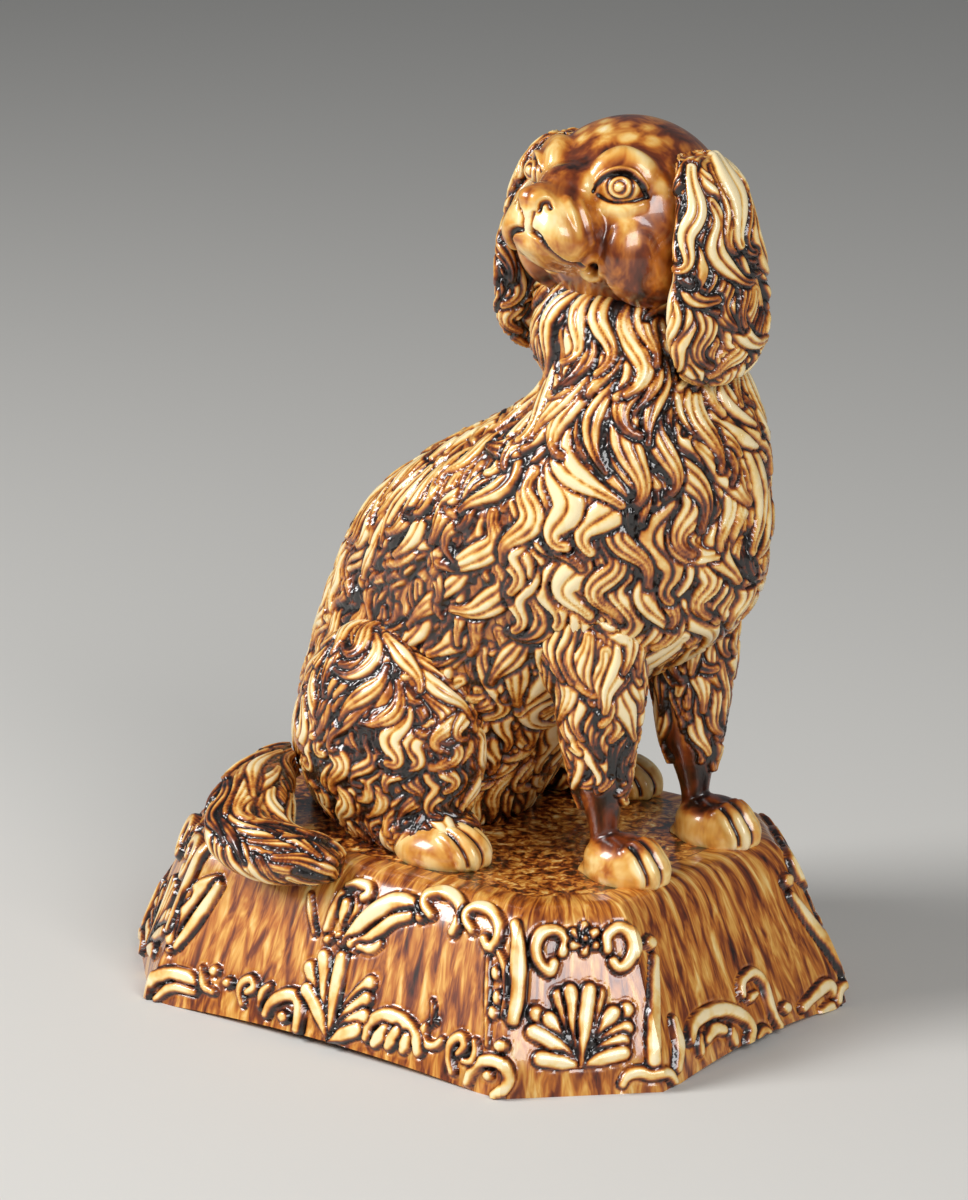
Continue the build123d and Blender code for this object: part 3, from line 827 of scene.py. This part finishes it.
def wall_place(index, share, climb, profile):
    """Places on a wall, for shares of its length and of the way up its profile."""
    steps, height, inset = rounded_profile(profile)
    height, inset = (np.interp(climb * steps[-1], steps, way) for way in (height, inset))
    start, end = wall_ends(index, inset)
    plan = start + (end - start) * share[:, None]
    run = np.linalg.norm(end - start, axis=1)
    middle = (np.abs(share - 0.5) * run) / (run / 2 - FOOT_LAND)
    arch = FOOT_ARCH * np.maximum(0, 1 - middle**2) * np.maximum(0, 1 - height / FOOT_HEIGHT)
    if "corner" in WALLS[index]:
        arch = 0
    return np.column_stack([plan, height + arch])


def wall_sheet(name, index, columns, rows, profile):
    """A grid primitive laid on a wall's profile, with each vertex's share of the length and of the climb."""
    only()
    bpy.ops.mesh.primitive_grid_add(x_subdivisions=columns, y_subdivisions=rows, size=1)
    sheet = bpy.context.object
    sheet.name = name
    sheet.data.name = name
    share, climb, _ = vectors(sheet.data.vertices, "co").T + 0.5
    place = wall_place(index, share, climb, profile)
    sheet.data.vertices.foreach_set("co", place.ravel())
    sheet.data.update()
    bpy.ops.object.shade_smooth()
    return sheet, share, climb


# %% Outer faces of the walls
WALL_GRAIN = 0.7 * MM
WALL_ROWS = 92
WALL_CLIMB = 65 * MM  # about the length of the profile
walls = []
wall_skins = []
for index, name in enumerate(WALLS):
    (start,), (end,) = wall_ends(index, np.zeros(1))
    columns = round(np.linalg.norm(end - start) / WALL_GRAIN)
    wall, share, climb = wall_sheet(name + "_relief", index, columns, WALL_ROWS, WALL_PROFILE)
    skin = Skin(wall)
    foot = start + (end - start) * share[:, None]
    below = np.column_stack([foot, climb * WALL_CLIMB]).astype(np.float32)
    fall_line = wall.data.attributes.new("fall_line", "FLOAT_VECTOR", "POINT")
    fall_line.data.foreach_set("vector", below.ravel())
    # Both walls face the same way at a shared edge, so that their relief meets
    turn = math.atan2(end[1] - start[1], end[0] - start[0]) - math.pi / 2
    for at_end, lean in ((share > 0.999, HALF_CORNER), (share < 0.001, -HALF_CORNER)):
        out = np.array([math.cos(turn + lean), math.sin(turn + lean)])
        level = np.linalg.norm(skin.normal[at_end, :2], axis=1)
        skin.normal[at_end, :2] = level[:, None] * out
    walls.append(wall)
    wall_skins.append(skin)
    print(wall.name, columns, "columns")

# %% Scrolls, leaves and beads, as lines of pixels with half widths and heights in millimetres
LONG_SIDE = [
    # Leaf at the rear end
    ([(172, 948), (180, 920), (192, 900), (205, 886), (218, 882)], 3.0, 2.0),
    ([(178, 946), (188, 933), (200, 916), (211, 900), (220, 886)], 2.4, 1.6),
    ([(171, 941), (175, 923), (181, 903), (190, 893)], 2.4, 1.6),
    # Scrolls and beads along the foot
    ([(150, 996), (155, 979), (171, 974), (190, 978), (198, 986)], 2.6, 2.0),
    ([(157, 999), (173, 987), (196, 992)], 1.9, 1.6),
    ([(203, 968), (206, 986), (215, 992)], 1.7, 1.8),
    ([(215, 971), (217, 971)], 2.4, 2.0),
    ([(228.5, 983), (230.5, 983)], 2.3, 2.2),
    ([(244, 1004), (241, 992), (244, 983), (253, 979), (256, 988), (249, 992)], 1.8, 1.8),
    ([(261, 1006), (264, 992), (271, 986)], 1.7, 1.6),
    ([(268, 1014), (273, 1004), (284, 996), (297, 996), (301, 1007), (299, 1029)], 2.4, 2.2),
    ([(283, 1016), (286, 1017)], 2.4, 1.8),
    # Sprig above the palmette
    ([(311, 895), (312, 913), (316, 933)], 1.5, 1.5),
    ([(328, 930), (335, 911), (343, 896), (350, 888)], 2.0, 1.8),
    ([(350, 886), (360, 884), (370, 888), (371, 895), (365, 898)], 2.0, 2.0),
    ([(346, 922), (349, 904)], 2.6, 2.2),
    ([(358, 898), (358, 910), (351, 923)], 1.3, 1.4),
    ([(328, 940), (331, 939)], 1.9, 1.8),
    ([(340, 936), (343, 936)], 1.9, 1.8),
    ([(341, 943), (355, 950)], 1.8, 1.4),
    # Long leaf under the shoulder
    ([(350, 941), (362, 925), (378, 911), (396, 902), (413, 905), (423, 915)], 3.2, 2.2),
    ([(352, 944), (368, 940), (382, 930), (396, 920), (412, 916)], 2.4, 1.6),
    ([(360, 947), (372, 949), (381, 944)], 1.8, 1.3),
    # Two scrolls under the shoulder
    ([(433, 916), (426, 906), (429, 896), (443, 893), (456, 898), (463, 910), (460, 921), (455, 932)],
     2.3, 2.2),
    ([(474, 931), (468, 921), (469, 913), (479, 908), (491, 911), (499, 921), (501, 933), (497, 944),
      (491, 948), (486, 939)], 2.2, 2.2),
    # Upright bands and beads at the front end
    ([(489, 956), (488, 1000), (488, 1045)], 1.3, 1.2),
    ([(501, 953), (507, 969), (509, 991), (506, 1016)], 1.8, 1.8),
    ([(497, 970), (498, 976)], 2.0, 1.8),
    ([(499, 994), (499, 1001)], 2.0, 1.8),
    ([(494, 1010), (495, 1015)], 2.0, 1.8),
    ([(501, 1046), (503, 1046)], 2.6, 2.4),
    # Scrolls at the foot of the front end
    ([(469, 1082), (473, 1071), (482, 1062), (496, 1061), (506, 1067), (509, 1079), (504, 1089),
      (496, 1095)], 2.2, 2.2),
    ([(488, 1075), (490, 1075)], 2.2, 1.8),
    ([(454, 1072), (451, 1057), (454, 1042), (463, 1037), (467, 1046), (461, 1054)], 2.0, 2.0),
    ([(464, 1061), (473, 1061), (477, 1051), (476, 1041)], 1.6, 1.6),
    ([(436, 1022), (428, 1026), (424, 1034), (428, 1044), (436, 1046), (443, 1041)], 1.8, 1.8),
    ([(433, 1024), (434, 1009), (433, 1001)], 1.2, 1.2),
    # Shell at the middle of the foot
    ([(368, 1037), (370, 1024), (383, 1016), (396, 1017), (410, 1026), (418, 1039), (420, 1051)], 2.6, 2.0),
    ([(376, 1043), (386, 1030)], 2.6, 1.8),
    ([(390, 1046), (398, 1032)], 2.6, 1.8),
    ([(404, 1050), (408, 1038)], 2.4, 1.6),
]
CORNER = [
    # Rear band, a scroll on each side of the rosette, a bead, the front band and the foot
    ([(516, 925), (519, 953), (518, 997), (513, 1021)], 2.6, 1.8),
    ([(562, 953), (565, 940), (555, 931), (541, 934), (535, 947), (538, 962), (549, 972), (553, 964)],
     2.3, 2.2),
    ([(607, 950), (607, 936), (618, 928), (629, 933), (634, 946), (629, 961), (619, 968), (613, 962)],
     2.3, 2.2),
    ([(646, 943), (649, 943)], 2.8, 2.2),
    ([(653, 959), (653, 1068)], 2.6, 1.8),
    ([(622, 1084), (628, 1075), (640, 1072), (651, 1075), (666, 1073), (672, 1081)], 2.2, 2.0),
]
END_SIDE = [
    # Upright band, and the shell at the foot
    ([(672, 1020), (678, 1045), (676, 1068)], 2.4, 1.8),
    ([(688, 1041), (692, 1025), (706, 1014), (724, 1010), (740, 1016), (749, 1028), (747, 1042)], 2.6, 2.2),
    ([(698, 1037), (699, 1052)], 2.2, 1.6),
    ([(705, 1040), (713, 1029), (722, 1030)], 2.4, 1.6),
    ([(730, 1030), (733, 1042)], 2.4, 1.6),
    # Tall scroll, and what follows it along the foot
    ([(740, 996), (740, 982), (751, 973), (761, 982), (767, 1000), (772, 1016), (779, 1028)], 2.0, 2.0),
    ([(747, 1001), (754, 994)], 1.6, 1.6),
    ([(754, 1040), (762, 1030), (770, 1034)], 2.0, 1.6),
    ([(782, 1008), (785, 1008)], 2.4, 2.0),
    ([(801, 1008), (812, 996), (826, 985), (832, 992), (838, 998)], 2.4, 2.0),
    ([(812, 1020), (826, 1008), (840, 1006)], 2.0, 1.6),
]

# %% Palmettes and rosettes
PETAL = (1.9, 1.8)  # half width and height
BEAD = (1.5, 2.2)


def fan(base, tips, half_width, height):
    """The leaves of a palmette, from one base to several tips."""
    leaves = []
    for tip in tips:
        bend = (base[0] * 0.45 + tip[0] * 0.55, base[1] * 0.35 + tip[1] * 0.65)
        leaves.append(([base, bend, tip], half_width, height))
    return leaves


def rosette(centre, radius, petals):
    """Round petals about a bead."""
    flower = []
    for petal in range(petals):
        turn = 2 * math.pi * (petal + 0.5) / petals
        tip = (centre[0] + radius * math.cos(turn), centre[1] + radius * math.sin(turn))
        flower.append(([centre, tip], *PETAL))
    return flower + [([(centre[0] - 1, centre[1]), (centre[0] + 1, centre[1])], *BEAD)]


LONG_SIDE_LEAVES = fan(
    (330, 1042),
    [(311, 968), (325, 957), (343, 958), (371, 983), (308, 990), (368, 999), (365, 1016), (358, 1030)],
    half_width=2.6, height=1.6)
CORNER_LEAVES = fan(
    (581, 1066),
    [(535, 1013), (626, 1010), (549, 1019), (613, 1013), (533, 1032), (626, 1028), (540, 1059), (622, 1041),
     (623, 1053), (559, 996), (598, 994), (570, 991), (589, 990)],
    half_width=2.6, height=1.8)
CORNER += rosette((584, 939), radius=13, petals=6)
print(len(LONG_SIDE + LONG_SIDE_LEAVES), "strokes on a long side,",
      len(CORNER + CORNER_LEAVES), "on a corner,", len(END_SIDE), "on an end")

# %% Lay the relief
# The hidden sides repeat the seen ones: long and end sides by a half turn, corners mirrored both ways
AS_SEEN = (1, 1, 1)
HALF_TURN = (-1, -1, 1)
TWO_SIDES = [AS_SEEN, HALF_TURN]
FOUR_CORNERS = [AS_SEEN, HALF_TURN, (-1, 1, 1), (1, -1, 1)]
SCROLL_ENDS = (0.75, 0.85)  # shares of the width at the root and at the tip
LEAF_ENDS = (0.3, 1)
RELIEF = [
    (LONG_SIDE + END_SIDE, SCROLL_ENDS, TWO_SIDES),
    (CORNER, SCROLL_ENDS, FOUR_CORNERS),
    (LONG_SIDE_LEAVES, LEAF_ENDS, TWO_SIDES),
    (CORNER_LEAVES, LEAF_ENDS, FOUR_CORNERS),
]
RELIEF_STAIN = -0.13
wall_trees = [skin.tree for skin in wall_skins]
for strokes, (root, tip), copies in RELIEF:
    for pixels, half_width, height in strokes:
        path, facing = seen(wall_trees, flowing(pixels))
        for turned in copies:
            for skin in wall_skins:
                skin.lay(path * turned, facing * turned, half_width * MM, height * MM,
                         stain_and_shade=RELIEF_STAIN, root=root, tip=tip)

# %% Close each wall with its inner face
for index, (wall, skin) in enumerate(zip(walls, wall_skins)):
    skin.shape(sink=0, groove=0.35 * MM, lip=0.8 * MM, soften=0)
    inner, _, _ = wall_sheet("inner", index, columns=20, rows=10, profile=INNER_PROFILE)
    with editing(inner):
        bpy.ops.mesh.flip_normals()
    only(wall, inner)
    bpy.ops.object.join()
    with editing(wall):
        bpy.ops.mesh.select_mode(type="EDGE")
        bpy.ops.mesh.select_all(action="DESELECT")
        bpy.ops.mesh.select_non_manifold(extend=False, use_wire=False, use_multi_face=False,
                                         use_non_contiguous=False, use_verts=False)
        bpy.ops.mesh.bridge_edge_loops()
    bpy.ops.object.shade_smooth_by_angle(angle=math.radians(75))
    print(wall.name, len(wall.data.polygons), "faces")

# %% [markdown]
# ## Top of the plinth
# The top is hand-finished clay: nearly flat, a little wavy, and level with the walls' shoulders where it
# meets them. Round the paws and under the coat it is painted darker: painted contact shade, and glaze that
# gathered in pools.

# %% A level slab with canted corners
SLAB_INSET = 31 * MM
SLAB_THICK = 8 * MM
SLAB_LENGTH = PLINTH_LENGTH - 2 * SLAB_INSET
SLAB_WIDTH = PLINTH_WIDTH - 2 * SLAB_INSET
slab_corner = np.abs(plan_corners(np.array([SLAB_INSET]))[1][0])
only()
bpy.ops.mesh.primitive_grid_add(x_subdivisions=140, y_subdivisions=100, size=1)
slab = bpy.context.object
slab.name = "plinth_top"
slab.data.name = "plinth_top"
slab.location = (0, 0, PLINTH_HEIGHT)
slab.scale = (SLAB_LENGTH, SLAB_WIDTH, 1)
bpy.ops.object.transform_apply(location=True, rotation=True, scale=True)
with editing(slab):
    for along in (1, -1):
        for across in (1, -1):
            bpy.ops.mesh.select_all(action="SELECT")
            bpy.ops.mesh.bisect(
                plane_co=(slab_corner[0] * along, slab_corner[1] * across, 0),
                plane_no=(along, across, 0), clear_outer=True)
print("slab", len(slab.data.polygons), "faces")

# %% Hand-finished top, painted darker round what stands on it, as contact shade and pooled glaze
WAVE_LENGTH = 18 * MM
WAVE_HEIGHT = 0.8 * MM
LEVEL_EDGE = 12 * MM
CONTACT_SHADE_REACH = 7 * MM
CONTACT_SHADE_AND_POOL = 0.2
slab_skin = Skin(slab)
spots = slab_skin.place
from_middle = np.abs(spots[:, :2])
slant = (sum(slab_corner) - from_middle[:, 0] - from_middle[:, 1]) / math.sqrt(2)
edge_gap = np.minimum(PLINTH_LENGTH / 2 - SLAB_INSET - from_middle[:, 0],
                      PLINTH_WIDTH / 2 - SLAB_INSET - from_middle[:, 1])
edge_gap = np.minimum(edge_gap, slant)
wave = np.array([noise.noise(Vector(spot) / WAVE_LENGTH) for spot in spots])
slab_skin.crest = WAVE_HEIGHT * wave * smoothly(edge_gap / LEVEL_EDGE)
standing = [BVHTree.FromObject(piece, bpy.context.evaluated_depsgraph_get())
            for piece in (torso_left, torso_right, tail, *haunches, *hind_paws, *forelegs)]
away = np.array([min(tree.find_nearest(Vector(spot))[3] for tree in standing) for spot in spots])
# Painted contact shade: the top is darker close to the pieces that stand on it, together with glaze pooled
# against them
slab_skin.stain_and_shade -= CONTACT_SHADE_AND_POOL * (1 - smoothly(away / CONTACT_SHADE_REACH))
slab_skin.shape(sink=0, groove=0, lip=1 * MM)
with editing(slab):
    bpy.ops.mesh.extrude_region_move(TRANSFORM_OT_translate={"value": (0, 0, -SLAB_THICK)})
    bpy.ops.mesh.select_all(action="SELECT")
    bpy.ops.mesh.normals_make_consistent(inside=False)
bpy.ops.object.shade_smooth_by_angle(angle=math.radians(60))
print("top", len(slab.data.polygons), "faces")

# %% [markdown]
# ## Glaze
# Manganese-brown lead glaze over a cream body: glassy, runny and uneven. On ridges it drained to a thin honey
# film and the cream shows, in grooves it gathered to treacle brown, and on plain faces it ran down in
# streaks. So one ramp from treacle to cream is read by how well each place drained. The modelling gives most
# of that, as attributes, and noise gives the mottling. A clear coat over the colour is the glass.

# %% Nodes and colours
GLAZE = [(0.0, "#0c0402"), (0.14, "#2a0f06"), (0.32, "#7a340f"), (0.48, "#bd6d22"),
         (0.64, "#e2a54c"), (0.82, "#f6d388"), (1.0, "#fde8b8")]


def linear(code):
    """An sRGB hex colour as linear red, green, blue and alpha."""
    parts = [int(code[index:index + 2], 16) / 255 for index in (1, 3, 5)]
    return [part / 12.92 if part <= 0.04045 else ((part + 0.055) / 1.055) ** 2.4 for part in parts] + [1]


def node(tree, kind, links=(), **settings):
    """Adds one node with its settings and links; a link is (input name or number, output socket or value)."""
    made = tree.nodes.new("ShaderNode" + kind)
    for name, value in settings.items():
        setattr(made, name, value)
    for socket, source in links:
        if isinstance(source, bpy.types.NodeSocket):
            tree.links.new(source, made.inputs[socket])
        else:
            made.inputs[socket].default_value = source
    return made.outputs


def scaled_sum(tree, value, scale, addend):
    """A value times a scale plus an addend."""
    return node(tree, "Math", [(0, value), (1, scale), (2, addend)], operation="MULTIPLY_ADD")[0]


# %% The glaze and its three runs
MOTTLE_SIZE = 7 * MM
CLOUD_SIZE = 30 * MM
CLOUD_DEPTH = 0.6
RIDGE_DEPTH = 1.1
GROOVE_LEVEL = -0.42
GLASS = {"Roughness": 0.3, "IOR": 1.55, "Coat Weight": 0.6, "Coat Roughness": 0.04}


def glaze(name, run_size, run_depth, level, mottling, runs_along=None):
    """A runny glaze; run_size is the size of its runs in millimetres, in space or along a named attribute."""
    material = bpy.data.materials.new(name)
    material.use_nodes = True
    tree = material.node_tree
    spot = node(tree, "TexCoord")["Object"]
    # Besides the real stains, this attribute holds painted shade: darker hollows and darker contact round
    # what stands on the top
    ridge, field, stain_and_shade = (node(tree, "Attribute", attribute_name=cue)["Fac"]
                           for cue in ("ridge", "field", "stain_and_shade"))
    mottle = node(tree, "TexNoise", [("Vector", spot), ("Scale", 1 / MOTTLE_SIZE), ("Detail", 3)])["Fac"]
    cloud = node(tree, "TexNoise", [("Vector", spot), ("Scale", 1 / CLOUD_SIZE), ("Detail", 2)])["Fac"]
    way = node(tree, "Attribute", attribute_name=runs_along)["Vector"] if runs_along else spot
    runs = node(tree, "Mapping", [("Vector", way), ("Scale", [1 / (size * MM) for size in run_size])])[0]
    run = node(tree, "TexNoise", [("Vector", runs), ("Scale", 1), ("Detail", 3), ("Roughness", 0.6),
                                  ("Distortion", 0.5)])["Fac"]
    drained = scaled_sum(tree, ridge, RIDGE_DEPTH, GROOVE_LEVEL - mottling / 2)
    drained = scaled_sum(tree, mottle, mottling, drained)
    drained = scaled_sum(tree, cloud, CLOUD_DEPTH, drained)
    flow = scaled_sum(tree, run, run_depth, level - run_depth / 2)
    value = node(tree, "Mix", [("Factor", field), ("A", drained), ("B", flow)])["Result"]
    value = node(tree, "Math", [(0, value), (1, stain_and_shade)], operation="ADD")[0]
    ramp = tree.nodes.new("ShaderNodeValToRGB")
    tree.links.new(value, ramp.inputs["Fac"])
    while len(ramp.color_ramp.elements) < len(GLAZE):
        ramp.color_ramp.elements.new(1)
    for band, (at, code) in zip(ramp.color_ramp.elements, GLAZE):
        band.position = at
        band.color = linear(code)
    surface = tree.nodes["Principled BSDF"]
    tree.links.new(ramp.outputs["Color"], surface.inputs["Base Color"])
    for socket, setting in GLASS.items():
        surface.inputs[socket].default_value = setting
    return material


coat_glaze = glaze(
    "treacle glaze on a modelled coat", run_size=(9, 9, 14), run_depth=1.2, level=0.48, mottling=1.1)
wall_glaze = glaze(
    "treacle glaze run down a wall", run_size=(4, 4, 18), run_depth=1.6, level=0.47, mottling=1.3,
    runs_along="fall_line")
top_glaze = glaze(
    "treacle glaze flecked on a level top", run_size=(3, 3, 3), run_depth=2.2, level=0.42, mottling=0.8)
print(coat_glaze.name, wall_glaze.name, top_glaze.name, sep="\n")

# %% Dress every piece
DRESSED = [
    (torso_left, coat_glaze, "torso_left_half"), (torso_right, coat_glaze, "torso_right_half"),
    (head_face, coat_glaze, "head_face_half"), (head_back, coat_glaze, "head_back_half"),
    (tail, coat_glaze, "tail"), (slab, top_glaze, "plinth_slab"),
]
for index, (hand, _) in enumerate(HANDS):
    DRESSED += [
        (haunches[index], coat_glaze, f"{hand}_haunch"), (hind_paws[index], coat_glaze, f"{hand}_hind_paw"),
        (forelegs[index], coat_glaze, f"{hand}_foreleg"), (ears[index], coat_glaze, f"{hand}_ear"),
    ]
DRESSED += [(wall, wall_glaze, name) for wall, name in zip(walls, WALLS)]
for piece, material, name in DRESSED:
    piece.data.materials.clear()
    piece.data.materials.append(material)
    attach(piece, "root")
    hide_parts(name)
print(len(DRESSED), "pieces,", sum(len(piece.data.polygons) for piece, _, _ in DRESSED), "faces")

# %% [markdown]
# ## Studio
# A plain pale floor, a large soft lamp on each side of the camera and an even dim world.

# %% Floor
only()
bpy.ops.mesh.primitive_plane_add(size=12)
floor = bpy.context.object
floor.name = "studio_floor"
paper = bpy.data.materials.new("matt paper")
paper.use_nodes = True
paper_surface = paper.node_tree.nodes["Principled BSDF"]
paper_surface.inputs["Base Color"].default_value = linear("#d8d6d1")
paper_surface.inputs["Roughness"].default_value = 0.9
floor.data.materials.append(paper)
print("floor", round(floor.dimensions.x), "m wide")

# %% Light
LAMP_SIZE = 0.7
LAMPS = {"key": ((-0.9, -1.1, 1.1), 28), "fill": ((1.2, -0.7, 0.9), 14)}
for name, (place, power) in LAMPS.items():
    bpy.ops.object.light_add(type="AREA", location=place)
    lamp = bpy.context.object
    lamp.name = name
    lamp.data.energy = power
    lamp.data.size = LAMP_SIZE
    lamp.rotation_euler = (Vector(place) - aim).to_track_quat("Z", "Y").to_euler()
    print(name, power, "W")
world = bpy.data.worlds.new("studio")
bpy.context.scene.world = world
world.use_nodes = True
sky = world.node_tree.nodes["Background"]
sky.inputs["Color"].default_value = linear("#d5d8dc")
sky.inputs["Strength"].default_value = 0.2
bpy.context.scene.view_settings.view_transform = "Standard"
